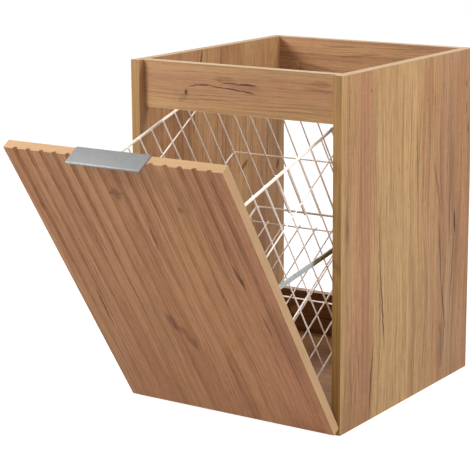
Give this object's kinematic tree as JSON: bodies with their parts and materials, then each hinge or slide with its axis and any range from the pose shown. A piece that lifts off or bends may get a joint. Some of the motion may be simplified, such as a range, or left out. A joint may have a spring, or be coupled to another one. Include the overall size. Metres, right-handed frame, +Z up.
{
  "type": "bathroom laundry cabinet",
  "caption": "Oak-decor laundry base cabinet, open on top, with a fluted door that tilts out on bottom hinges and carries a slanted white wire basket.",
  "frame": {"origin": "centre of the flat underside of the cabinet, on the floor: half the width across, half the side panels' depth from front to back", "axes": "+X to the right as seen from the front, +Y to the back, +Z up; the door tilts out towards -Y"},
  "size_m": [0.4, 0.7752, 0.57],
  "materials": {
    "oak_decor": "oak decor, satin",
    "edge_band": "oak decor edge band, satin",
    "door_front": "oak decor, satin, upright flutes",
    "handle_metal": "satin",
    "zinc_steel": "zinc plated",
    "nickel_steel": "nickel plated, satin",
    "white_wire": "white powder coat, gloss",
    "grey_plastic": "matte",
    "dark_plastic": "matte",
    "clear_soft": "soft, milky",
    "beech": "bare"
  },
  "bodies": {
    "cabinet": {"side_left": "oak_decor", "side_right": "oak_decor", "edge_band_left": "edge_band", "edge_band_right": "edge_band", "bottom_panel": "oak_decor", "front_rail": "oak_decor", "rear_rail": "oak_decor", "low_rear_rail": "oak_decor", "cam_locks": "zinc_steel", "cam_bolts": "nickel_steel", "dowels": "beech", "hinge_arm_left": "nickel_steel", "hinge_arm_right": "nickel_steel", "hinge_plates": "zinc_steel", "plate_screws": "zinc_steel", "guide_posts": "nickel_steel"},
    "door": {"door_panel": "door_front", "handle": "handle_metal", "handle_screws": "zinc_steel", "bumpers": "clear_soft", "hinge_cup_left": "nickel_steel", "hinge_cup_right": "nickel_steel", "hinge_pins": "zinc_steel", "cup_screws": "zinc_steel", "stay_bracket_left": "nickel_steel", "stay_bracket_right": "nickel_steel", "stay_rivets": "zinc_steel", "bracket_screws": "zinc_steel", "basket_rim": "white_wire", "bottom_ring": "white_wire", "side_net_left": "white_wire", "side_net_right": "white_wire", "rear_net": "white_wire", "front_net": "white_wire", "floor_net": "white_wire", "basket_clips": "nickel_steel", "clip_screws": "zinc_steel"},
    "stay_left_body": {"stay_left": "nickel_steel", "stay_stop_left": "dark_plastic"},
    "stay_right_body": {"stay_right": "nickel_steel", "stay_stop_right": "dark_plastic"},
    "guide_left_body": {"guide_left": "grey_plastic"},
    "guide_right_body": {"guide_right": "grey_plastic"}
  },
  "joints": [
    {"name": "door_tilt", "type": "hinge", "parent": "cabinet", "child": "door", "pos_m": [0, -0.2295, 0.015], "axis": [1, 0, 0], "range_deg": [-33, 0]},
    {"name": "stay_left_swing", "type": "hinge", "parent": "door", "child": "stay_left_body", "pos_m": [-0.173, -0.37516, 0.265], "axis": [1, 0, 0], "range_deg": [0, 17]},
    {"name": "guide_left_swing", "type": "hinge", "parent": "cabinet", "child": "guide_left_body", "pos_m": [-0.173, -0.1705, 0.299], "axis": [1, 0, 0], "range_deg": [-16.1, 0]},
    {"name": "stay_right_swing", "type": "hinge", "parent": "door", "child": "stay_right_body", "pos_m": [0.173, -0.37516, 0.265], "axis": [1, 0, 0], "range_deg": [0, 17]},
    {"name": "guide_right_swing", "type": "hinge", "parent": "cabinet", "child": "guide_right_body", "pos_m": [0.173, -0.1705, 0.299], "axis": [1, 0, 0], "range_deg": [-16.1, 0]}
  ],
  "couplings": [
    {"joint": "stay_left_swing", "follows": "door_tilt", "ratio": -0.5135},
    {"joint": "guide_left_swing", "follows": "door_tilt", "ratio": 0.4865},
    {"joint": "stay_right_swing", "follows": "door_tilt", "ratio": -0.5135},
    {"joint": "guide_right_swing", "follows": "door_tilt", "ratio": 0.4865}
  ]
}
